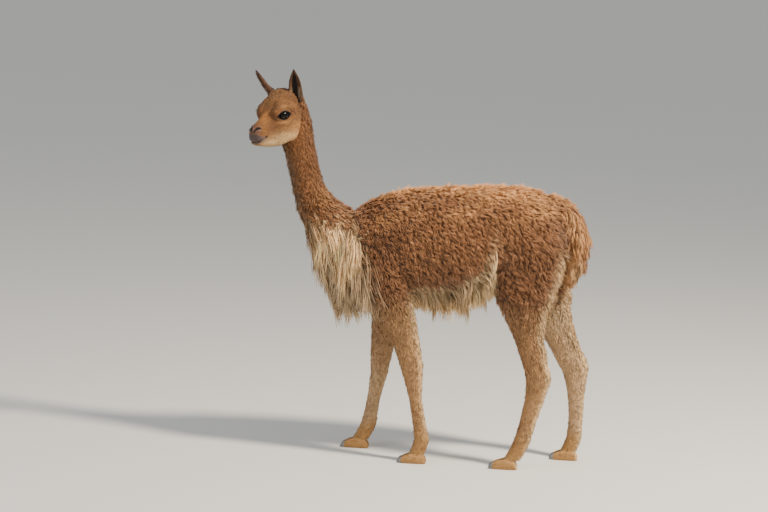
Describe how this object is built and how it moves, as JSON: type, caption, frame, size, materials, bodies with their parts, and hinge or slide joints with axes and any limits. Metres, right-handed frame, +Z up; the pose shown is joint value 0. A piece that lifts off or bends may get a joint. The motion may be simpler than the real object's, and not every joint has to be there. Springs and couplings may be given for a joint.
{
  "type": "vicuna",
  "caption": "Life-size still model of a standing vicuna in profile, its head turned to the viewer, with fleece, chest bib and belly fringe.",
  "frame": {"origin": "on the floor, under the middle of the bounding box", "axes": "+Z up; the animal faces -X, and its left side, the one towards the camera, is towards -Y"},
  "size_m": [1.1133, 0.3329, 1.2377],
  "materials": {
    "body_fleece": "dense crimped wool, cinnamon brown",
    "pale_hair": "long soft hair, cream",
    "head_coat": "short flat fur, tawny brown with pale cheeks",
    "ear_coat": "short fur, brown outside and pale hair within",
    "leg_coat": "short flat fur, pale tan",
    "eye": "wet, glossy, nearly black",
    "nail": "dull grey horn"
  },
  "bodies": {
    "root": {"head": "head_coat", "ear_left": "ear_coat", "ear_right": "ear_coat", "eye_left": "eye", "eye_right": "eye", "neck": "body_fleece", "chest": "pale_hair", "torso": "body_fleece", "tail": "body_fleece", "foreleg_left": "leg_coat", "foreleg_right": "leg_coat", "hindleg_left": "leg_coat", "hindleg_right": "leg_coat", "foot_fore_left": "leg_coat", "foot_fore_right": "leg_coat", "foot_hind_left": "leg_coat", "foot_hind_right": "leg_coat", "nail_fore_left_inner": "nail", "nail_fore_left_outer": "nail", "nail_fore_right_inner": "nail", "nail_fore_right_outer": "nail", "nail_hind_left_inner": "nail", "nail_hind_left_outer": "nail", "nail_hind_right_inner": "nail", "nail_hind_right_outer": "nail"}
  },
  "joints": []
}
